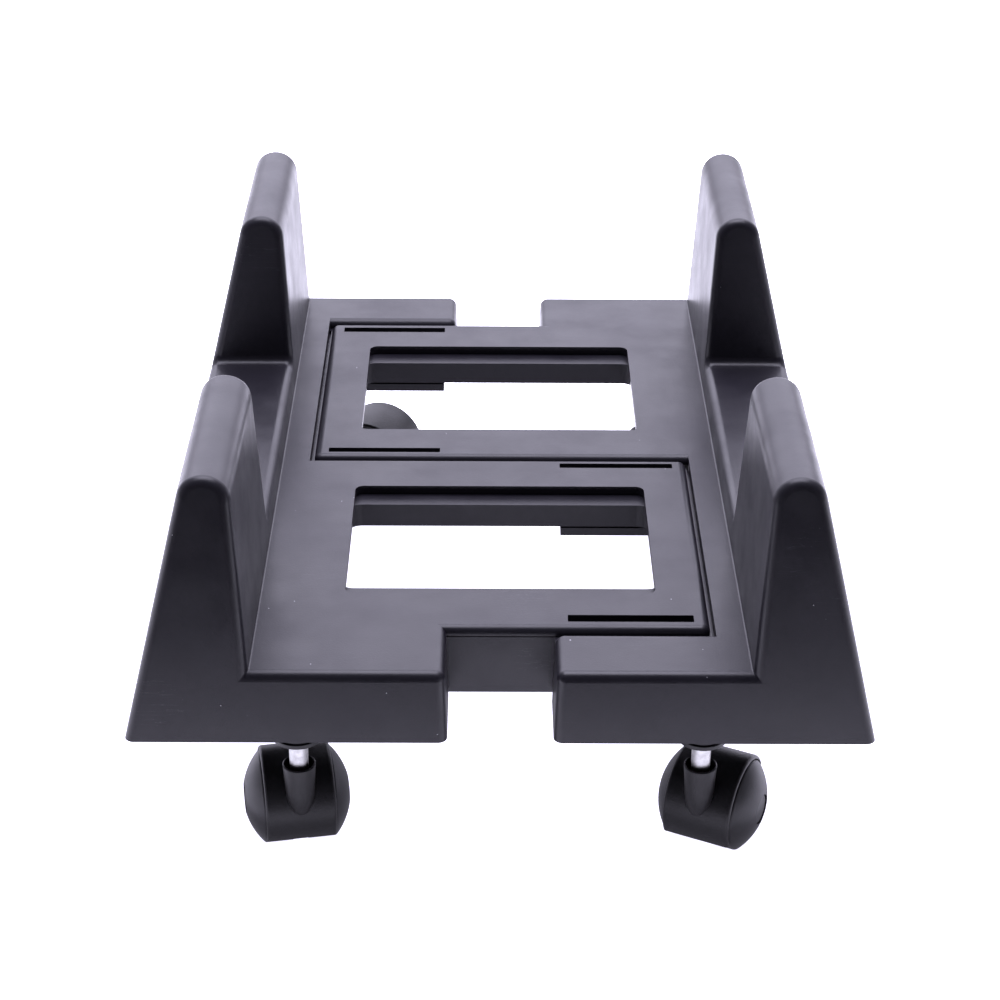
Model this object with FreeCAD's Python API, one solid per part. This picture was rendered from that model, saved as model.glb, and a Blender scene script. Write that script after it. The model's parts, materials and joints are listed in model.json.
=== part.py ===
"""Rolling, width-adjustable stand for a computer tower, in millimetres.

Two identical mouldings face each other, each a half turn of the other about Z. Each has a side wall
with two horns, a hollow skirt, a tongue that reaches across to the other half and a tray that the other
half's tongue slides in. Each half rolls on two twin-wheel stem casters.

Origin: on the floor, under the middle of the closed stand. +X is the adjusting direction, +Y the rear,
+Z up. The left half carries the front tongue (y < 0) and the rear tray (y > 0).
"""
import FreeCAD, Part
import math
import os

Vector = FreeCAD.Vector
ORIGIN = Vector(0, 0, 0)
UP = Vector(0, 0, 1)
ALONG_X = Vector(1, 0, 0)

# Heights above the floor
DECK_Z = 76.0            # flat top that the tower stands on
RIM_Z = 52.4             # lower edge of the skirt
RIDGE_Z = 139.8          # top of the horns
SADDLE_Z = 85.0          # low stretch of the side wall between two horns

# Half moulding, plan sizes of the closed stand measured from its middle
HALF_DEPTH = 140.0       # front and rear faces, at deck height
HALF_WIDTH = 114.4       # outer rim of the skirt
INNER_X = 76.1           # foot of the side wall's inner face, at deck height
RIDGE_X = 86.9           # middle of the horns' rounded ridge
RIDGE_RADIUS = 8.1
HORN_TOP_Y = 64.1        # saddle end of a horn, at its ridge
HORN_FOOT_Y = 58.4       # saddle end of a horn, at the saddle
BAR_END_X = 16.9         # end of the short front and rear bars, at deck height
BAR_END_DRAFT = 0.03     # lean of the bars' ends, as a slope
BAR_INNER_Y = 115.6      # inner face of those bars
POCKET_X = 66.6          # end wall of the tray's pocket
DRAFT = 0.07             # lean of the front and rear faces, as a slope
EDGE_RADIUS = 3.0        # rounding of the outer edges
FOOT_RADIUS = 0.6        # rounding between the deck and the side wall
WALL = 3.0               # thickness of deck, tongue and outer walls
RIB = 2.0                # thickness of stiffening ribs
CHANNEL_RIBS = 7         # cross ribs in the hollow of each side wall

# Tongue: the plate that reaches into the other half
TONGUE_END_X = 65.3
TONGUE_OUTER_Y = 113.3
SEAM_HALF_GAP = 0.8      # each half stays this far from the middle plane
TONGUE_EDGE_RADIUS = 2.4
TONGUE_END_RADIUS = 2.6
OPENING_HALF_LENGTH = 49.5
OPENING_NEAR_Y = 21.0
OPENING_FAR_Y = 92.2
OPENING_CORNER = 3.0
SLOT_START_X = 21.0
SLOT_END_X = 60.4
SLOT_CORNER = 0.4
OUTER_SLOT = (105.4, 109.4)  # both sides of the slot beside the bar
SEAM_SLOT = (4.1, 7.3)       # both sides of the slot beside the seam

# Tray: the recessed floor that the other half's tongue slides on
SLIDE_GAP = 0.3          # clearance of faces that slide past each other
TRAY_END_X = 62.0
TRAY_FLOOR = 2.4
TRAY_OUTER_Y = 113.4
TRAY_SEAM_Y = 0.7
TRAY_OUTER_WALL = 1.8
TRAY_SEAM_WALL = 1.4
TRAY_WALL_Z = 60.0       # lower edge of the tray's seam and end walls
TRAY_OPENING_HALF_LENGTH = 52.0
TRAY_OPENING_NEAR_Y = 28.4
TRAY_OPENING_FAR_Y = 84.0
TRAY_CORNER = 5.0
TRAY_RIM_WALL = 1.8
TRAY_GROOVE_WIDTH = 0.7  # groove in the tray's floor, along the pocket's end wall
TRAY_GROOVE_DEPTH = 1.2
TRAY_RIM_Z = 64.4        # lower edge of the rim round the tray's opening
OUTER_SLIT_Y = 105.2     # the outer slit runs from here to the tray's outer wall
SEAM_SLIT_Y = 7.4        # the seam slit runs from the seam wall to here
SLIT_START_X = -61.5

# Hooks under the tongue: they pass through the slits and grip under the tray's rim
HOOK_FOOT = 2.9
HOOK_OUTER_STEM = 1.8
HOOK_SEAM_STEM = 1.6
HOOK_WALL_GAP = 0.4
HOOK_RIM_GAP = 0.8       # between the hooks' feet and the tray's rim above them

# Caster position and the rest angle of each caster about its stem, in degrees
CASTER_X = 62.7
CASTER_Y = 128.5
CASTER_YAW = {"front_left": 10.3, "front_right": -25.7, "rear_left": -109.0, "rear_right": -150.0}

# Caster: in its own frame the stem is at x = y = 0 and the wheels trail towards +Y
WHEEL_RADIUS = 14.75
AXLE_TRAIL = 13.5
AXLE_RADIUS = 1.5
AXLE_HALF_LENGTH = 13.2
WHEEL_INNER_X = 1.9
TREAD_INNER_ROUND = 0.8
DOME_START_X = 11.3
DOME_HEIGHT = 5.9
DOME_EDGE_ROUND = 1.2
WHEEL_HOLLOW_DEPTH = 6.0
WHEEL_HOLLOW_RADII = (4.2, 12.6)
HUB_RECESS_RADIUS = 4.9
HUB_RECESS_X = 15.6
HUB_CAP_GAP = 0.3
HUB_CAP_CROWN = 0.4
HUB_CAP_X = 16.6         # top of the cap's crown
HOOD_RADIUS = 16.3
HOOD_INNER_RADIUS = 15.6
HOOD_HALF_WIDTH = 11.15
HOOD_EDGE_ROUND = 1.1    # rounding between the hood's outer face and its sides
HOOD_SIDE_WALL = 0.5
HOOD_CORNER_RADIUS = 3.0
HOOD_FRONT_ANGLE = 207.0  # end of the hood low at the front, about the axle from +Y through +Z
HOOD_REAR_ANGLE = 20.0    # end of the hood at the back
WEB_HALF_WIDTH = 1.5
WEB_HUB_RADIUS = 5.0
TUBE_TOP_Z = 35.8
TUBE_TOP_RADIUS = 5.2
TUBE_TOP_BEVEL = 0.3
TUBE_WAIST_Z = 27.0
TUBE_WAIST_RADIUS = 4.7
TUBE_TIP_Z = 15.5
TUBE_MOUTH_RADIUS = 4.6
TUBE_MOUTH_DEPTH = 3.6

STEM_RADIUS = 3.0
STEM_BOTTOM_Z = 27.3
STEM_TOP_Z = 70.4
STEM_CHAMFER = 0.6
RUNNING_GAP = 0.05
RING_Z = 29.3            # retaining ring that keeps the hood on the stem
RING_THICKNESS = 0.9
RING_GROOVE_RADIUS = 2.5
RING_OUTER_RADIUS = 3.6
RING_CLEARANCE = 0.3
GRIP_Z = 60.4            # grip ring that keeps the stem in its socket
GRIP_HEIGHT = 3.4
GRIP_OUTER_RADIUS = 4.0
RING_SPLIT = 1.6         # width of the split in both rings

SOCKET_RADIUS = 5.2
SOCKET_TOP_Z = 71.0
SOCKET_CHAMBER_Z = 59.8
FLANGE_RADIUS = 8.0
FLANGE_Z = 46.0
FLANGE_THICKNESS = 1.7
FLANGE_EDGE_ROUND = 0.35
BOSS_RADIUS = 7.4
FIT_GAP = 0.02           # clearance of a pressed-in piece

PAST = 5.0               # how far a cutting solid runs past the face it cuts
BELOW = 20.0             # how far the hollow's outline runs below the rim, so that it opens there
FAR = 200.0              # half size of helper solids that only have to be large
NEAR = 0.1               # tolerance for finding edges by their place


def box(x_range, y_range, z_range):
    """Box between two corners, whichever way round each range is given."""
    low = Vector(min(x_range), min(y_range), min(z_range))
    high = Vector(max(x_range), max(y_range), max(z_range))
    size = high - low
    return Part.makeBox(size.x, size.y, size.z, low)


def rounded_opening(x_range, y_range, z_range, radius):
    """Box whose four upright edges are rounded."""
    solid = box(x_range, y_range, z_range)
    upright = [e for e in solid.Edges if abs(e.tangentAt(e.FirstParameter).z) > 0.9]
    return solid.makeFillet(radius, upright)


def cylinder(radius, z_low, z_high, x=0.0, y=0.0):
    return Part.makeCylinder(radius, z_high - z_low, Vector(x, y, z_low), UP)


def circles(shape):
    real_edges = [edge for edge in shape.Edges if not edge.Degenerated]
    return [edge for edge in real_edges if isinstance(edge.Curve, Part.Circle)]


def rotated(shape, axis, degrees):
    turned = shape.copy()
    turned.rotate(ORIGIN, axis, degrees)
    return turned


def fuse(first, others):
    return first.fuse(others).removeSplitter()


# ---------------------------------------------------------------- half moulding


def tangent_point(x, z, circle_x, circle_z, radius, turn):
    """Where the line from (x, z) touches the circle, on the side that turn (+1 or -1) picks."""
    distance = math.hypot(x - circle_x, z - circle_z)
    bearing = math.atan2(z - circle_z, x - circle_x)
    angle = bearing + turn * math.acos(radius / distance)
    return circle_x + radius * math.cos(angle), circle_z + radius * math.sin(angle)


def cross_section():
    """Face in XZ: the leaning side wall with its round ridge, and the deck out to the bar's end."""
    ridge_centre_z = RIDGE_Z - RIDGE_RADIUS
    ridge = (-RIDGE_X, ridge_centre_z, RIDGE_RADIUS)
    outer_x, outer_z = tangent_point(-HALF_WIDTH, RIM_Z, *ridge, -1)
    inner_x, inner_z = tangent_point(-INNER_X, DECK_Z, *ridge, 1)
    lean = (outer_x + HALF_WIDTH) / (outer_z - RIM_Z)
    bottom = RIM_Z - BELOW
    bar_bottom_x = -BAR_END_X + BAR_END_DRAFT * (DECK_Z - bottom)
    corners = [
        Vector(inner_x, 0, inner_z),
        Vector(-INNER_X, 0, DECK_Z),
        Vector(-BAR_END_X, 0, DECK_Z),
        Vector(bar_bottom_x, 0, bottom),
        Vector(-HALF_WIDTH - lean * BELOW, 0, bottom),
        Vector(outer_x, 0, outer_z),
    ]
    edges = [Part.makeLine(a, b) for a, b in zip(corners, corners[1:])]
    top = Vector(-RIDGE_X, 0, RIDGE_Z)
    edges.append(Part.Arc(corners[-1], top, corners[0]).toShape())
    return Part.Face(Part.Wire(edges))


def side_silhouette():
    """Face in YZ: two horns with the saddle between them, above the skirt."""
    horn_slope = (HORN_TOP_Y - HORN_FOOT_Y) / (RIDGE_Z - SADDLE_Z)
    bottom = RIM_Z - BELOW
    top = RIDGE_Z + PAST
    rear = [
        (HORN_FOOT_Y, SADDLE_Z),
        (HORN_TOP_Y + horn_slope * PAST, top),
        (HALF_DEPTH - DRAFT * (top - DECK_Z), top),
        (HALF_DEPTH - DRAFT * (bottom - DECK_Z), bottom),
    ]
    front = [(-y, z) for y, z in reversed(rear)]
    points = [Vector(0, y, z) for y, z in rear + front]
    return Part.Face(Part.makePolygon(points + points[:1]))


def crossed_prisms(section, silhouette):
    """Solid that has the given cross-section along Y and the given silhouette along X."""
    along_y = section.copy()
    along_y.translate(Vector(0, -FAR, 0))
    along_x = silhouette.copy()
    along_x.translate(Vector(-FAR, 0, 0))
    return along_y.extrude(Vector(0, 2 * FAR, 0)).common(along_x.extrude(Vector(2 * FAR, 0, 0)))


def middle_of(edge):
    return edge.valueAt((edge.FirstParameter + edge.LastParameter) / 2)


def is_along_y(edge):
    return abs(edge.tangentAt(edge.FirstParameter).y) > 1 - NEAR


def is_wall_foot(edge):
    """True for the inner corner between the deck and the side wall."""
    middle = middle_of(edge)
    return abs(middle.x + INNER_X) < NEAR and abs(middle.z - DECK_Z) < NEAR and is_along_y(edge)


def is_rounded(edge):
    """True for the outer edges; the rim, the pocket, the ridge's own arc and the wall's foot are not."""
    middle = middle_of(edge)
    on_rim = middle.z < RIM_Z + NEAR
    on_pocket_end = abs(middle.x + POCKET_X) < NEAR
    on_seam = abs(middle.y) < EDGE_RADIUS + NEAR and middle.x > -POCKET_X
    on_ridge = is_along_y(edge) and middle.z > RIDGE_Z - 2 * RIDGE_RADIUS
    return not (on_rim or on_pocket_end or on_seam or on_ridge or is_wall_foot(edge))


def outer_body():
    """Solid outside shape of the left half, without its tongue, tray and hollows."""
    body = crossed_prisms(cross_section(), side_silhouette())
    body = body.common(box((-FAR, FAR), (-FAR, FAR), (RIM_Z, FAR)))
    pocket = box((-POCKET_X, 0), (-SEAM_HALF_GAP - TONGUE_EDGE_RADIUS, BAR_INNER_Y), (0, FAR))
    body = body.cut(pocket).Solids[0]
    body = body.makeFillet(EDGE_RADIUS, [edge for edge in body.Edges if is_rounded(edge)])
    return body.makeFillet(FOOT_RADIUS, [edge for edge in body.Edges if is_wall_foot(edge)])


def boss_places():
    return [(-CASTER_X, -CASTER_Y), (-CASTER_X, CASTER_Y)]


def inner_walls():
    """Walls, ribs and the parts of the caster bosses that stay inside the hollow body."""
    below_deck = (RIM_Z, DECK_Z)
    channel = (-HALF_WIDTH, -INNER_X)
    walls = [box((-INNER_X - RIB, -INNER_X), (-FAR, FAR), below_deck)]
    walls.append(box((-POCKET_X - RIB, -POCKET_X), (0, BAR_INNER_Y + WALL), below_deck))
    for side in (-1, 1):
        bar_faces = (side * BAR_INNER_Y, side * (BAR_INNER_Y + WALL))
        walls.append(box((-INNER_X, -BAR_END_X), bar_faces, below_deck))
    for x, y in boss_places():
        rib_heights = (RIM_Z + WALL, DECK_Z)
        walls.append(cylinder(BOSS_RADIUS, RIM_Z, DECK_Z, x, y))
        walls.append(box((-INNER_X, -BAR_END_X), (y - RIB / 2, y + RIB / 2), rib_heights))
        bar_width = (math.copysign(BAR_INNER_Y, y), math.copysign(HALF_DEPTH, y))
        walls.append(box((x - RIB / 2, x + RIB / 2), bar_width, rib_heights))
    half_count = CHANNEL_RIBS // 2
    for index in range(-half_count, half_count + 1):
        y = index * CASTER_Y / half_count
        walls.append(box(channel, (y - RIB / 2, y + RIB / 2), (RIM_Z + WALL, SADDLE_Z)))
    return walls


def hollow():
    """The space inside the body, one wall thickness inside its faces, open at the bottom."""
    sharp_corners = 2
    section = cross_section().makeOffset2D(-WALL, sharp_corners)
    silhouette = side_silhouette().makeOffset2D(-WALL, sharp_corners)
    return crossed_prisms(section, silhouette).cut(inner_walls())


def tongue():
    """Plate of the left half that lies in the right half's tray, with rounded sides and end."""
    y_range = (-TONGUE_OUTER_Y, -SEAM_HALF_GAP)
    plate = box((-POCKET_X, TONGUE_END_X), y_range, (DECK_Z - WALL, DECK_Z))
    sides = [
        edge for edge in plate.Edges
        if abs(edge.CenterOfMass.z - DECK_Z) < NEAR and abs(edge.Length - TONGUE_END_X - POCKET_X) < NEAR
    ]
    plate = plate.makeFillet(TONGUE_EDGE_RADIUS, sides)
    end = [
        edge for edge in plate.Edges
        if edge.CenterOfMass.x > TONGUE_END_X - NEAR and edge.CenterOfMass.z > DECK_Z - TONGUE_EDGE_RADIUS
    ]
    return plate.makeFillet(TONGUE_END_RADIUS, end)


def hooks():
    """Two angled hooks under the tongue's free end: an upright leg, and a foot towards the opening."""
    x_range = (SLOT_START_X, SLOT_END_X)
    foot_top = TRAY_RIM_Z - HOOK_RIM_GAP
    foot_z = (foot_top - HOOK_FOOT, foot_top)
    leg_z = (foot_top - HOOK_FOOT, DECK_Z - WALL / 2)
    outer_y = TRAY_OUTER_Y - TRAY_OUTER_WALL - HOOK_WALL_GAP
    seam_y = TRAY_SEAM_Y + TRAY_SEAM_WALL + HOOK_WALL_GAP
    pieces = [
        box(x_range, (-outer_y, -outer_y + HOOK_OUTER_STEM), leg_z),
        box(x_range, (-outer_y, -TRAY_OPENING_FAR_Y - SLIDE_GAP), foot_z),
        box(x_range, (-seam_y, -seam_y - HOOK_SEAM_STEM), leg_z),
        box(x_range, (-seam_y, -TRAY_OPENING_NEAR_Y + SLIDE_GAP), foot_z),
    ]
    return pieces


def tongue_cuts():
    """The tongue's opening and the two moulding slots above its hooks."""
    through = (DECK_Z - WALL, DECK_Z + PAST)
    length = (-OPENING_HALF_LENGTH, OPENING_HALF_LENGTH)
    cuts = [rounded_opening(length, (-OPENING_FAR_Y, -OPENING_NEAR_Y), through, OPENING_CORNER)]
    for near_y, far_y in (OUTER_SLOT, SEAM_SLOT):
        cuts.append(rounded_opening((SLOT_START_X, SLOT_END_X), (-far_y, -near_y), through, SLOT_CORNER))
    return cuts


def tray():
    """Recessed floor behind the pocket of the left half, with its walls, opening and slits."""
    top = DECK_Z - WALL - SLIDE_GAP
    x_range = (-POCKET_X - RIB / 2, TRAY_END_X)
    y_range = (TRAY_SEAM_Y, TRAY_OUTER_Y)
    outer_wall_y = TRAY_OUTER_Y - TRAY_OUTER_WALL
    seam_wall_y = TRAY_SEAM_Y + TRAY_SEAM_WALL
    end_wall_x = TRAY_END_X - TRAY_OUTER_WALL
    opening_y = (TRAY_OPENING_NEAR_Y, TRAY_OPENING_FAR_Y)
    rim_x = TRAY_OPENING_HALF_LENGTH + TRAY_RIM_WALL
    rim_y = (TRAY_OPENING_NEAR_Y - TRAY_RIM_WALL, TRAY_OPENING_FAR_Y + TRAY_RIM_WALL)
    floor = box(x_range, y_range, (top - TRAY_FLOOR, top))
    walls = [
        box((-POCKET_X, -BAR_END_X), (TRAY_OUTER_Y, BAR_INNER_Y + WALL / 2), (top - TRAY_FLOOR, top)),
        box(x_range, (outer_wall_y, TRAY_OUTER_Y), (RIM_Z, top)),
        box(x_range, (TRAY_SEAM_Y, seam_wall_y), (TRAY_WALL_Z, top)),
        box((end_wall_x, TRAY_END_X), y_range, (TRAY_WALL_Z, top)),
        rounded_opening((-rim_x, rim_x), rim_y, (TRAY_RIM_Z, top), TRAY_CORNER + TRAY_RIM_WALL),
    ]
    through = (TRAY_WALL_Z, DECK_Z)
    length = (-TRAY_OPENING_HALF_LENGTH, TRAY_OPENING_HALF_LENGTH)
    cuts = [
        rounded_opening(length, opening_y, through, TRAY_CORNER),
        box((SLIT_START_X, end_wall_x), (OUTER_SLIT_Y, outer_wall_y), through),
        box((SLIT_START_X, end_wall_x), (seam_wall_y, SEAM_SLIT_Y), through),
        box((-POCKET_X, -POCKET_X + TRAY_GROOVE_WIDTH), y_range, (top - TRAY_GROOVE_DEPTH, top)),
    ]
    return fuse(floor, walls).cut(cuts)


def caster_bosses():
    """Lower ends of the two bosses, which stand out below the rim and take the caster sockets."""
    z_range = (FLANGE_Z + FLANGE_THICKNESS, RIM_Z)
    return [cylinder(BOSS_RADIUS, *z_range, x, y) for x, y in boss_places()]


def left_half():
    shell = outer_body().cut(hollow())
    under_tongue = (-SEAM_HALF_GAP, -BAR_INNER_Y)
    shell = shell.cut(box((-POCKET_X, 0), under_tongue, (RIM_Z - PAST, DECK_Z - WALL)))
    half = fuse(shell, [tongue(), tray()] + hooks() + caster_bosses())
    bores = [
        cylinder(SOCKET_RADIUS + FIT_GAP, FLANGE_Z, SOCKET_TOP_Z + FIT_GAP, x, y)
        for x, y in boss_places()
    ]
    return half.cut(tongue_cuts() + bores)


# ---------------------------------------------------------------- caster


def axle_cylinder(radius, x_low, x_high):
    """Cylinder about the wheel axle, in the caster's own frame."""
    base = Vector(x_low, AXLE_TRAIL, WHEEL_RADIUS)
    return Part.makeCylinder(radius, x_high - x_low, base, ALONG_X)


def about_axle(outline, start=0, span=360):
    """Turns a closed outline of edges in XY, with the radius along Y, about the wheel axle."""
    face = rotated(Part.Face(Part.Wire(outline)), ALONG_X, start)
    solid = face.revolve(ORIGIN, ALONG_X, span)
    solid.translate(Vector(0, AXLE_TRAIL, WHEEL_RADIUS))
    return solid


def wheel():
    """Right-hand wheel: a flat tread that runs on into a domed outer face."""
    inner_middle = Vector(WHEEL_INNER_X, 0, 0)
    inner_edge = Vector(WHEEL_INNER_X, WHEEL_RADIUS - TREAD_INNER_ROUND, 0)
    tread_start = Vector(WHEEL_INNER_X + TREAD_INNER_ROUND, WHEEL_RADIUS, 0)
    inset = TREAD_INNER_ROUND * (1 - math.sqrt(0.5))
    round_middle = Vector(WHEEL_INNER_X + inset, WHEEL_RADIUS - inset, 0)
    dome_rim = Vector(DOME_START_X, WHEEL_RADIUS, 0)
    dome_top = Vector(DOME_START_X + DOME_HEIGHT, 0, 0)
    dome_radius = (WHEEL_RADIUS ** 2 + DOME_HEIGHT ** 2) / (2 * DOME_HEIGHT)
    dome_drop = dome_radius - math.sqrt(dome_radius ** 2 - WHEEL_RADIUS ** 2 / 4)
    dome_middle = Vector(dome_top.x - dome_drop, WHEEL_RADIUS / 2, 0)
    outline = [
        Part.makeLine(inner_middle, inner_edge),
        Part.Arc(inner_edge, round_middle, tread_start).toShape(),
        Part.makeLine(tread_start, dome_rim),
        Part.Arc(dome_rim, dome_middle, dome_top).toShape(),
        Part.makeLine(dome_top, inner_middle),
    ]
    solid = about_axle(outline)
    rim = [edge for edge in circles(solid) if abs(edge.Curve.Center.x - DOME_START_X) < NEAR]
    solid = solid.makeFillet(DOME_EDGE_ROUND, rim)
    hub_radius, rim_radius = WHEEL_HOLLOW_RADII
    hollow_x = (WHEEL_INNER_X, WHEEL_INNER_X + WHEEL_HOLLOW_DEPTH)
    ring = axle_cylinder(rim_radius, *hollow_x).cut(axle_cylinder(hub_radius, *hollow_x))
    bore = axle_cylinder(AXLE_RADIUS + RUNNING_GAP, 0, AXLE_HALF_LENGTH + SLIDE_GAP)
    recess = axle_cylinder(HUB_RECESS_RADIUS, HUB_RECESS_X, HUB_RECESS_X + DOME_HEIGHT)
    return solid.cut([ring, bore, recess])


def hub_cap():
    """Slightly crowned disc that closes the middle of the right-hand wheel's dome."""
    radius = HUB_RECESS_RADIUS - HUB_CAP_GAP
    crown_top = Vector(HUB_CAP_X, 0, 0)
    crown_middle = Vector(HUB_CAP_X - HUB_CAP_CROWN / 4, radius / 2, 0)
    crown_edge = Vector(HUB_CAP_X - HUB_CAP_CROWN, radius, 0)
    seat_edge = Vector(HUB_RECESS_X, radius, 0)
    seat_middle = Vector(HUB_RECESS_X, 0, 0)
    outline = [
        Part.Arc(crown_top, crown_middle, crown_edge).toShape(),
        Part.makeLine(crown_edge, seat_edge),
        Part.makeLine(seat_edge, seat_middle),
        Part.makeLine(seat_middle, crown_top),
    ]
    return about_axle(outline)


def mirrored(shape):
    return shape.mirror(ORIGIN, ALONG_X)


def hood_sector():
    """Solid sector about the axle between the hood's two end angles."""
    half = HOOD_HALF_WIDTH
    corners = [(-half, 0), (half, 0), (half, HOOD_RADIUS), (-half, HOOD_RADIUS)]
    points = [Vector(x, y, 0) for x, y in corners]
    outline = Part.makePolygon(points + points[:1]).Edges
    return about_axle(outline, HOOD_REAR_ANGLE, HOOD_FRONT_ANGLE - HOOD_REAR_ANGLE)


def wheel_space():
    """Room for the right-hand wheel inside the hood, narrower where the hood's side is rounded."""
    outside = HOOD_HALF_WIDTH + PAST
    side_radius = HOOD_RADIUS - HOOD_EDGE_ROUND
    corners = [
        (WEB_HALF_WIDTH, 0),
        (WEB_HALF_WIDTH, HOOD_INNER_RADIUS),
        (HOOD_HALF_WIDTH - HOOD_EDGE_ROUND, HOOD_INNER_RADIUS),
        (HOOD_HALF_WIDTH - HOOD_SIDE_WALL, side_radius),
        (outside, side_radius),
        (outside, 0),
    ]
    points = [Vector(x, y, 0) for x, y in corners]
    return about_axle(Part.makePolygon(points + points[:1]).Edges)


def corner_trim():
    """What is cut off the hood's rear right corner to round it."""
    radius = HOOD_CORNER_RADIUS
    x_range = (HOOD_HALF_WIDTH - radius, HOOD_HALF_WIDTH + PAST)
    depth = HOOD_RADIUS - WHEEL_RADIUS / 2
    block = box(x_range, (WHEEL_RADIUS / 2, HOOD_RADIUS + PAST), (-PAST, radius))
    base = Vector(x_range[0], WHEEL_RADIUS / 2, radius)
    trim = block.cut(Part.makeCylinder(radius, depth + PAST, base, Vector(0, 1, 0)))
    trim = rotated(trim, ALONG_X, HOOD_REAR_ANGLE)
    trim.translate(Vector(0, AXLE_TRAIL, WHEEL_RADIUS))
    return trim


def hood_cover():
    """Cover over both treads with a web in its middle plane and rounded sides and rear corners."""
    cover = hood_sector()
    cover = cover.makeFillet(HOOD_EDGE_ROUND, circles(cover))
    room = wheel_space()
    trim = corner_trim()
    return cover.cut([room, mirrored(room), trim, mirrored(trim)])


def socket_tube():
    """Tapered tube round the stem, whose rounded lower end runs out into the hood's front."""
    tip = Vector(0, 0, TUBE_TIP_Z)
    waist = Vector(TUBE_WAIST_RADIUS, 0, TUBE_WAIST_Z)
    ellipse = Part.Ellipse(tip, waist, Vector(0, 0, TUBE_WAIST_Z))
    bevel_start = Vector(TUBE_TOP_RADIUS, 0, TUBE_TOP_Z - TUBE_TOP_BEVEL)
    top_edge = Vector(TUBE_TOP_RADIUS - TUBE_TOP_BEVEL, 0, TUBE_TOP_Z)
    top_middle = Vector(0, 0, TUBE_TOP_Z)
    outline = [
        Part.ArcOfEllipse(ellipse, 0, math.pi / 2).toShape(),
        Part.makeLine(waist, bevel_start),
        Part.makeLine(bevel_start, top_edge),
        Part.makeLine(top_edge, top_middle),
        Part.makeLine(top_middle, tip),
    ]
    return Part.Face(Part.Wire(outline)).revolve(ORIGIN, UP, 360)


def hood():
    """Cover over both wheels' treads, with the stem tube in front and a web between the wheels."""
    room = wheel_space()
    tube = socket_tube().cut([room, mirrored(room)])
    web_hub = axle_cylinder(WEB_HUB_RADIUS, -WEB_HALF_WIDTH, WEB_HALF_WIDTH)
    ring_top = RING_Z + RING_THICKNESS + RING_CLEARANCE
    cuts = [
        axle_cylinder(AXLE_RADIUS + FIT_GAP, -WEB_HALF_WIDTH - PAST, WEB_HALF_WIDTH + PAST),
        cylinder(STEM_RADIUS + RUNNING_GAP, STEM_BOTTOM_Z - SLIDE_GAP, TUBE_TOP_Z + PAST),
        cylinder(TUBE_MOUTH_RADIUS, TUBE_TOP_Z - TUBE_MOUTH_DEPTH, TUBE_TOP_Z + PAST),
        cylinder(RING_OUTER_RADIUS + RING_CLEARANCE, RING_Z - RING_CLEARANCE, ring_top),
    ]
    return fuse(hood_cover(), [tube, web_hub]).cut(cuts)


def split_ring(inner_radius, outer_radius, z_low, height):
    """Ring with a narrow gap, as a spring ring has."""
    z_range = (z_low, z_low + height)
    ring = cylinder(outer_radius, *z_range).cut(cylinder(inner_radius, *z_range))
    return ring.cut(box((-RING_SPLIT / 2, RING_SPLIT / 2), (0, FAR), (0, FAR)))


def stem_groove(z_low, height):
    z_range = (z_low, z_low + height)
    return cylinder(STEM_RADIUS + PAST, *z_range).cut(cylinder(RING_GROOVE_RADIUS, *z_range))


def stem():
    pin = cylinder(STEM_RADIUS, STEM_BOTTOM_Z, STEM_TOP_Z)
    pin = pin.makeChamfer(STEM_CHAMFER, circles(pin))
    return pin.cut([stem_groove(RING_Z, RING_THICKNESS), stem_groove(GRIP_Z, GRIP_HEIGHT)])


def stem_socket():
    """Flanged sleeve pressed into the boss, with a chamber that the grip ring snaps into."""
    flange_top = FLANGE_Z + FLANGE_THICKNESS
    flange = cylinder(FLANGE_RADIUS, FLANGE_Z, flange_top)
    flange = flange.makeFillet(FLANGE_EDGE_ROUND, circles(flange))
    sleeve = cylinder(SOCKET_RADIUS, FLANGE_Z, SOCKET_TOP_Z)
    bore = cylinder(STEM_RADIUS + RUNNING_GAP, FLANGE_Z, SOCKET_TOP_Z)
    chamber = cylinder(GRIP_OUTER_RADIUS + RUNNING_GAP, SOCKET_CHAMBER_Z, SOCKET_TOP_Z)
    return fuse(flange, [sleeve]).cut([bore, chamber])


def grip_ring():
    inner_radius = RING_GROOVE_RADIUS + RUNNING_GAP
    height = GRIP_HEIGHT - 2 * RUNNING_GAP
    return split_ring(inner_radius, GRIP_OUTER_RADIUS, GRIP_Z + RUNNING_GAP, height)


def retaining_ring():
    inner_radius = RING_GROOVE_RADIUS + RUNNING_GAP
    height = RING_THICKNESS - 2 * RUNNING_GAP
    return split_ring(inner_radius, RING_OUTER_RADIUS, RING_Z + RUNNING_GAP, height)


def caster_pieces():
    right_wheel = wheel()
    right_cap = hub_cap()
    return {
        "socket": stem_socket(),
        "stem": stem(),
        "grip_ring": grip_ring(),
        "retaining_ring": retaining_ring(),
        "hood": hood(),
        "axle": axle_cylinder(AXLE_RADIUS, -AXLE_HALF_LENGTH, AXLE_HALF_LENGTH),
        "left_wheel": mirrored(right_wheel),
        "right_wheel": right_wheel,
        "left_hub_cap": mirrored(right_cap),
        "right_hub_cap": right_cap,
    }


def placed(shape, corner):
    """Copy of a caster piece at its corner of the stand, turned to its rest angle."""
    moved = rotated(shape, UP, CASTER_YAW[corner])
    x = CASTER_X if "right" in corner else -CASTER_X
    y = CASTER_Y if "rear" in corner else -CASTER_Y
    moved.translate(Vector(x, y, 0))
    return moved


# ---------------------------------------------------------------- output


def stand_pieces():
    half = left_half()
    stand = {"left_half": half, "right_half": rotated(half, UP, 180)}
    caster = caster_pieces()
    for corner in CASTER_YAW:
        for piece, shape in caster.items():
            stand[f"{corner}_caster_{piece}"] = placed(shape, corner)
    return stand


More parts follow.
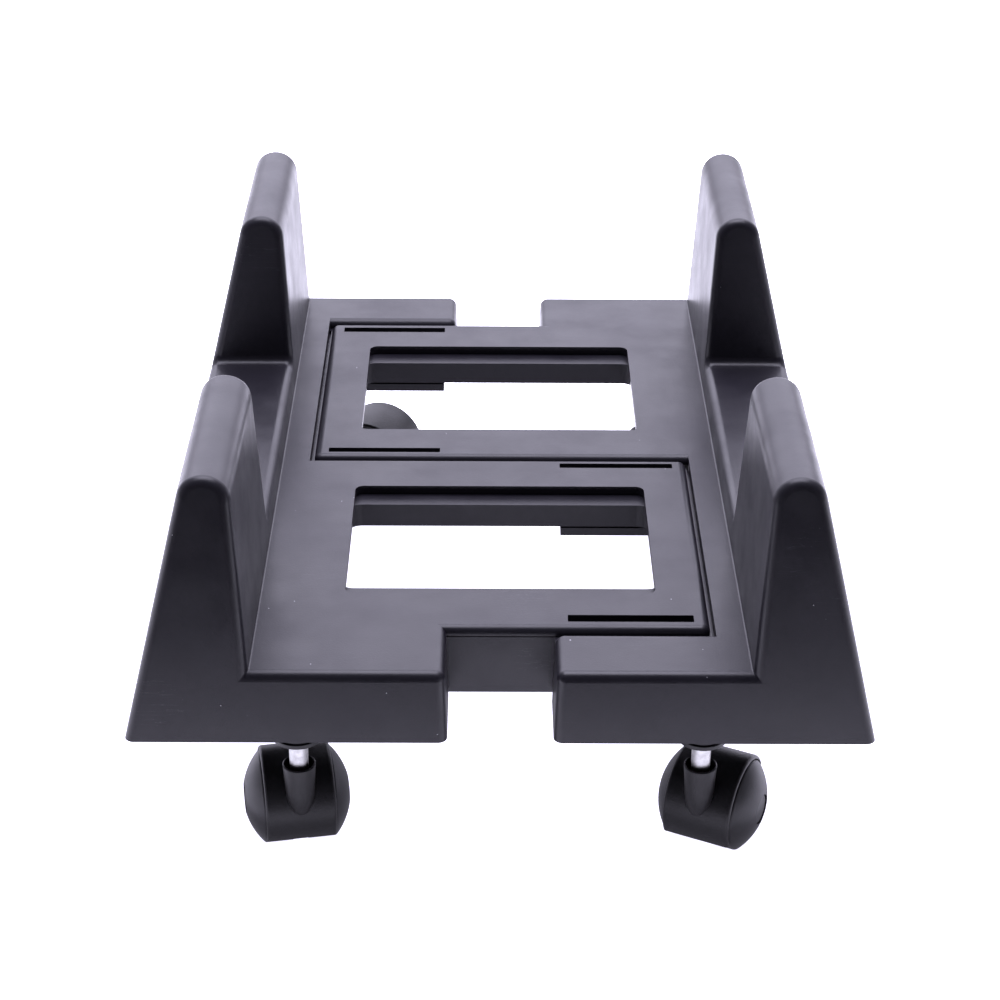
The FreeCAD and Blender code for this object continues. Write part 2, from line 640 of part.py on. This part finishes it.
def main():
    os.makedirs("parts", exist_ok=True)
    for name, shape in stand_pieces().items():
        if len(shape.Solids) != 1 or not shape.isValid():
            raise ValueError(f"{name} is not one valid solid")
        shape.Solids[0].exportStep(f"parts/{name}.step")


main()
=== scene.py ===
"""Looks of the rolling computer stand: materials, plain studio and the camera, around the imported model."""
import json
import math

import bpy
from mathutils import Matrix, Vector

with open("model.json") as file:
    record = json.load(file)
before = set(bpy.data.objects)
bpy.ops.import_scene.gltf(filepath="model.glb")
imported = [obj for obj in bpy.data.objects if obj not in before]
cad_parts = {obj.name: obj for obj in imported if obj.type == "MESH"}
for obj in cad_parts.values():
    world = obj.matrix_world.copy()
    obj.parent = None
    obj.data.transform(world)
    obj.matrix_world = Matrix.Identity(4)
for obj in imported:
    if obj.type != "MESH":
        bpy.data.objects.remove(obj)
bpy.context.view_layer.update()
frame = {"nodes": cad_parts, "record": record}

# Camera, in metres and degrees
CAMERA_PLACE = Vector((-0.00457, -0.7346, 0.46209))
CAMERA_YAW = 0.38
CAMERA_PITCH = 28.75
CAMERA_ROLL = 0.4
CAMERA_LENS = 84.88
CAMERA_SENSOR = 36.0

# Materials: the scales are features per metre, the depths metres
GRAIN_SCALE = 1900.0
CLOUD_SCALE = 28.0
SMUDGE_SCALE = 75.0
FLOW_SCALE = (9.0, 60.0, 60.0)      # flow marks run along the adjusting direction
SCRATCH_SCALE = (40.0, 900.0, 500.0)
SCUFF_PATCH_SCALE = 22.0
TURNING_SCALE = (30.0, 30.0, 5200.0)
PLATING_SCALE = 700.0
SINK_DEPTH = 0.00025
TURNING_DEPTH = 0.00003
CLOUD_LIGHTENING = 1.35
PLATING_DARKENING = 0.72
PLASTIC_IOR = 1.46
DUST_COLOUR = (0.62, 0.62, 0.66, 1.0)
SCRATCH_COLOUR = (0.16, 0.16, 0.18, 1.0)
SCRATCH_STRENGTH = 0.35

# Dust specks: how many cells per metre they are dealt from, and their radius in metres
LARGE_SPECKS = (95.0, 0.00035)
SMALL_SPECKS = (260.0, 0.0002)

# Studio light: a faintly violet white
LIGHT_TINT = (1.0, 0.97, 1.19)
FLOOR_GLOW = 0.98
FLOOR_HALF_SIZE = 6.0
CARD_Z = 0.002
WHITE_STRENGTH = 1.1      # at which the tinted room light still shows as white
ROOM_FRONT_STRENGTH = 0.05
ROOM_BACK_STRENGTH = 0.88
ROOM_SIDE_CONTRAST = 0.15  # the left is this share brighter than the middle, the right as much darker


# ---------------------------------------------------------------- materials


class Nodes:
    """Short way to add and link nodes in one tree."""

    def __init__(self, tree):
        self.tree = tree
        tree.nodes.clear()

    def feed(self, node, inputs):
        """Links or sets each named or numbered input of the node."""
        for key, value in inputs.items():
            if isinstance(value, bpy.types.NodeSocket):
                self.tree.links.new(value, node.inputs[key])
            else:
                node.inputs[key].default_value = value

    def add(self, kind, inputs=None, **settings):
        node = self.tree.nodes.new(kind)
        for key, value in settings.items():
            setattr(node, key, value)
        self.feed(node, inputs or {})
        return node

    def noise(self, coordinates, scale, detail=2.0, roughness=0.5):
        inputs = {"Vector": coordinates, "Scale": scale, "Detail": detail, "Roughness": roughness}
        return self.add("ShaderNodeTexNoise", inputs).outputs["Fac"]

    def remap(self, value, low, high, new_low, new_high):
        inputs = {"Value": value, "From Min": low, "From Max": high, "To Min": new_low, "To Max": new_high}
        return self.add("ShaderNodeMapRange", inputs, clamp=True).outputs["Result"]

    def math(self, operation, first, second):
        return self.add("ShaderNodeMath", {0: first, 1: second}, operation=operation).outputs["Value"]

    def mix_colour(self, factor, first, second):
        """Mixes two colours: inputs 6 and 7, and output 2, are the ones that the colour mode uses."""
        node = self.add("ShaderNodeMix", data_type="RGBA")
        self.feed(node, {0: factor, 6: first, 7: second})
        return node.outputs[2]

    def stretched(self, coordinates, scale):
        return self.add("ShaderNodeMapping", {"Vector": coordinates, "Scale": scale}).outputs["Vector"]

    def grey(self, value):
        inputs = {"Red": value, "Green": value, "Blue": value}
        return self.add("ShaderNodeCombineColor", inputs).outputs["Color"]

    def bump(self, height, strength, distance, normal=None):
        inputs = {"Height": height, "Strength": strength, "Distance": distance}
        if normal is not None:
            inputs["Normal"] = normal
        return self.add("ShaderNodeBump", inputs).outputs["Normal"]


def new_material(name):
    material = bpy.data.materials.new(name)
    material.use_nodes = True
    nodes = Nodes(material.node_tree)
    coordinates = nodes.add("ShaderNodeTexCoord").outputs["Object"]
    return material, nodes, coordinates


def add_surface(nodes, inputs):
    """Principled shader with the given inputs, as the material's surface."""
    shader = nodes.add("ShaderNodeBsdfPrincipled", inputs)
    nodes.add("ShaderNodeOutputMaterial", {"Surface": shader.outputs["BSDF"]})


def dust_specks(nodes, coordinates, per_metre, radius, share):
    """1 inside small round specks, 0 elsewhere. About share of the cells hold a speck."""
    inputs = {"Vector": coordinates, "Scale": per_metre, "Randomness": 1.0}
    cells = nodes.add("ShaderNodeTexVoronoi", inputs)
    chance = nodes.add("ShaderNodeSeparateColor", {"Color": cells.outputs["Color"]}).outputs["Red"]
    chosen = nodes.math("LESS_THAN", chance, share)
    edge = radius * per_metre
    inside = nodes.remap(cells.outputs["Distance"], edge * 0.5, edge, 1.0, 0.0)
    return nodes.math("MULTIPLY", chosen, inside)


def scuffs(nodes, coordinates):
    """1 along a few thin scratches in scattered patches, 0 elsewhere."""
    lines = nodes.noise(nodes.stretched(coordinates, SCRATCH_SCALE), 1.0, 3.0)
    from_middle = nodes.math("ABSOLUTE", nodes.math("SUBTRACT", lines, 0.5), 0.0)
    thin = nodes.remap(from_middle, 0.0, 0.004, 1.0, 0.0)
    patches = nodes.remap(nodes.noise(coordinates, SCUFF_PATCH_SCALE), 0.58, 0.68, 0.0, 1.0)
    return nodes.math("MULTIPLY", thin, patches)


def plastic_gloss(nodes, coordinates, cloud, dust, roughness):
    """Roughness that drifts in clouds, flow marks and smudges, and is dull on dust."""
    flow = nodes.noise(nodes.stretched(coordinates, FLOW_SCALE), 1.0, 2.0)
    smudge = nodes.noise(coordinates, SMUDGE_SCALE, 4.0, 0.6)
    gloss = nodes.remap(cloud, 0.25, 0.75, roughness - 0.035, roughness + 0.045)
    gloss = nodes.math("ADD", gloss, nodes.remap(flow, 0.35, 0.65, -0.02, 0.02))
    gloss = nodes.math("ADD", gloss, nodes.remap(smudge, 0.35, 0.65, -0.035, 0.035))
    return nodes.math("ADD", gloss, nodes.math("MULTIPLY", dust, 0.4))


def moulded_plastic(name, colour, roughness, grain_depth, dust_share):
    """Injection-moulded black plastic: fine grain, uneven gloss, faint flow, scuffs and dust."""
    material, nodes, coordinates = new_material(name)
    grain = nodes.noise(coordinates, GRAIN_SCALE, 3.0, 0.6)
    cloud = nodes.noise(coordinates, CLOUD_SCALE, 3.0)
    dust = nodes.math(
        "MAXIMUM",
        dust_specks(nodes, coordinates, *LARGE_SPECKS, dust_share * 0.6),
        dust_specks(nodes, coordinates, *SMALL_SPECKS, dust_share),
    )
    light = tuple(channel * CLOUD_LIGHTENING for channel in colour)
    base = nodes.mix_colour(nodes.remap(cloud, 0.3, 0.7, 0.0, 1.0), (*colour, 1.0), (*light, 1.0))
    scratch = nodes.math("MULTIPLY", scuffs(nodes, coordinates), SCRATCH_STRENGTH)
    base = nodes.mix_colour(scratch, base, SCRATCH_COLOUR)
    base = nodes.mix_colour(dust, base, DUST_COLOUR)
    sink = nodes.bump(cloud, 0.4, SINK_DEPTH)
    add_surface(nodes, {
        "Base Color": base,
        "Roughness": plastic_gloss(nodes, coordinates, cloud, dust, roughness),
        "Normal": nodes.bump(grain, 0.55, grain_depth, sink),
        "IOR": PLASTIC_IOR,
    })
    return material


def turned_steel(name, colour, roughness):
    """Bright plated steel with fine turning marks round the Z axis."""
    material, nodes, coordinates = new_material(name)
    marks = nodes.noise(nodes.stretched(coordinates, TURNING_SCALE), 1.0, 2.0)
    cloud = nodes.noise(coordinates, PLATING_SCALE, 3.0)
    dark = tuple(channel * PLATING_DARKENING for channel in colour)
    base = nodes.mix_colour(nodes.remap(cloud, 0.35, 0.7, 0.0, 1.0), (*colour, 1.0), (*dark, 1.0))
    add_surface(nodes, {
        "Base Color": base,
        "Metallic": 1.0,
        "Roughness": nodes.remap(marks, 0.3, 0.7, roughness - 0.06, roughness + 0.1),
        "Normal": nodes.bump(marks, 0.3, TURNING_DEPTH),
    })
    return material


def object_materials():
    """The material of each slot in the record."""
    plastics = {
        # slot: name, colour, roughness, depth of the grain in metres, share of dust
        "body_plastic": ("satin_black_body", (0.0115, 0.0105, 0.0150), 0.355, 0.00006, 0.11),
        "hood_plastic": ("black_nylon_hood", (0.008, 0.0075, 0.0086), 0.42, 0.00014, 0.08),
        "wheel_plastic": ("black_nylon_wheel", (0.01, 0.0095, 0.011), 0.42, 0.00003, 0.04),
        "hub_cap_plastic": ("black_hub_cap", (0.01, 0.01, 0.011), 0.42, 0.00004, 0.03),
        "socket_plastic": ("black_socket", (0.01, 0.01, 0.011), 0.4, 0.00004, 0.02),
    }
    made = {slot: moulded_plastic(*values) for slot, values in plastics.items()}
    made["stem_steel"] = turned_steel("plated_stem", (0.67, 0.67, 0.66), 0.38)
    made["spring_steel"] = turned_steel("spring_steel", (0.5, 0.5, 0.52), 0.32)
    return made


def dress_nodes():
    """Gives every CAD node the material of its slot."""
    made = object_materials()
    for entry in frame["record"]["subparts"]:
        mesh = frame["nodes"][entry["node"]].data
        mesh.materials.clear()
        mesh.materials.append(made[entry["material_slot"]])


# ---------------------------------------------------------------- studio


def flat_panel(name, x_range, y_range, z):
    """Level rectangle, as a mesh."""
    (x_low, x_high), (y_low, y_high) = x_range, y_range
    corners = [(x_low, y_low, z), (x_high, y_low, z), (x_high, y_high, z), (x_low, y_high, z)]
    mesh = bpy.data.meshes.new(name)
    mesh.from_pydata(corners, [], [(0, 1, 2, 3)])
    panel = bpy.data.objects.new(name, mesh)
    bpy.context.scene.collection.objects.link(panel)
    return panel


def glowing_material(name, mottle_scale, shade_range, roughness, glow):
    """Matt, faintly mottled grey that also gives off the studio's light."""
    material, nodes, coordinates = new_material(name)
    shade = nodes.remap(nodes.noise(coordinates, mottle_scale), 0.3, 0.7, *shade_range)
    add_surface(nodes, {
        "Base Color": nodes.grey(shade),
        "Roughness": roughness,
        "Specular IOR Level": 0.0,
        "Emission Color": (*LIGHT_TINT, 1.0),
        "Emission Strength": glow,
    })
    return material


def floor():
    """Plain white light table: it glows a little, so shadows stay faint."""
    extent = (-FLOOR_HALF_SIZE, FLOOR_HALF_SIZE)
    panel = flat_panel("floor", extent, extent, 0.0)
    panel.data.materials.append(glowing_material("white_light_table", 3.0, (0.78, 0.8), 0.9, FLOOR_GLOW))


def reflected_card(name, x_range, y_range, shade, glow):
    """Level card just above the floor that only reflections show: the camera itself doesn't see it."""
    card = flat_panel(name, x_range, y_range, CARD_Z)
    card.data.materials.append(glowing_material(name, 40.0, (shade * 0.8, shade * 1.2), 1.0, glow))
    card.visible_camera = False
    card.visible_shadow = False


def reflected_cards():
    """Dark in front of the object, a dim card of painted shadow under it, bright behind it."""
    reflected_card("front_dark_card", (-3.0, 3.0), (-3.0, -0.285), shade=0.006, glow=0.0)
    # Painted shadow: a dim, faintly glowing card under the stand, hidden from the camera, stands for the
    # shade beneath the object in reflections and bounce light.
    reflected_card("under_painted_shadow_card", (-0.1, 0.1), (-0.155, 0.15), shade=0.1, glow=0.4)
    reflected_card("rear_bright_card", (-1.3, 1.1), (0.17, 1.6), shade=0.6, glow=1.68)


def softbox(name, place, aim, size, radiance):
    """Rectangular soft light of the given radiance, which the camera doesn't see."""
    width, height = size
    light = bpy.data.lights.new(name, "AREA")
    light.shape = "RECTANGLE"
    light.size = width
    light.size_y = height
    light.color = LIGHT_TINT
    light.energy = radiance * math.pi * width * height
    lamp = bpy.data.objects.new(name, light)
    lamp.location = place
    lamp.rotation_mode = "QUATERNION"
    lamp.rotation_quaternion = (Vector(aim) - Vector(place)).to_track_quat("-Z", "Y")
    lamp.visible_camera = False
    bpy.context.scene.collection.objects.link(lamp)


def studio_lights():
    softbox("back_softbox", place=(0.0, 1.5, 1.0), aim=(0.0, 0.0, 0.1), size=(2.6, 1.3), radiance=2.0)
    softbox("top_softbox", place=(0.0, 0.3, 1.7), aim=(0.0, 0.0, 0.0), size=(1.6, 1.2), radiance=5.5)


def surroundings():
    """Soft room light: bright behind the object and a little brighter on its left, white where it is seen."""
    world = bpy.data.worlds.new("studio")
    world.use_nodes = True
    nodes = Nodes(world.node_tree)
    direction = nodes.add("ShaderNodeTexCoord").outputs["Generated"]
    along = nodes.add("ShaderNodeSeparateXYZ", {"Vector": direction}).outputs
    strength = nodes.remap(along["Y"], -0.4, 0.8, ROOM_FRONT_STRENGTH, ROOM_BACK_STRENGTH)
    left_to_right = nodes.remap(along["X"], -1.0, 1.0, 1.0 + ROOM_SIDE_CONTRAST, 1.0 - ROOM_SIDE_CONTRAST)
    strength = nodes.math("MULTIPLY", strength, left_to_right)
    seen = nodes.add("ShaderNodeLightPath").outputs["Is Camera Ray"]
    white = nodes.math("MULTIPLY", seen, WHITE_STRENGTH)
    strength = nodes.math("MAXIMUM", strength, white)
    light = nodes.add("ShaderNodeBackground", {"Color": (*LIGHT_TINT, 1.0), "Strength": strength})
    nodes.add("ShaderNodeOutputWorld", {"Surface": light.outputs["Background"]})
    bpy.context.scene.world = world


def camera():
    yaw, pitch, roll = (math.radians(a) for a in (CAMERA_YAW, CAMERA_PITCH, CAMERA_ROLL))
    flat = math.cos(pitch)
    forward = Vector((math.sin(yaw) * flat, math.cos(yaw) * flat, -math.sin(pitch)))
    level = forward.cross(Vector((0.0, 0.0, 1.0))).normalized()
    upright = level.cross(forward)
    right = math.cos(roll) * level + math.sin(roll) * upright
    up = math.cos(roll) * upright - math.sin(roll) * level
    data = bpy.data.cameras.new("camera")
    data.sensor_width = CAMERA_SENSOR
    data.lens = CAMERA_LENS
    seat = bpy.data.objects.new("camera", data)
    turn = Matrix((right, up, -forward)).transposed().to_4x4()
    seat.matrix_world = Matrix.Translation(CAMERA_PLACE) @ turn
    bpy.context.scene.collection.objects.link(seat)
    bpy.context.scene.camera = seat


dress_nodes()
floor()
reflected_cards()
studio_lights()
surroundings()
camera()
bpy.context.scene.view_settings.view_transform = "Standard"
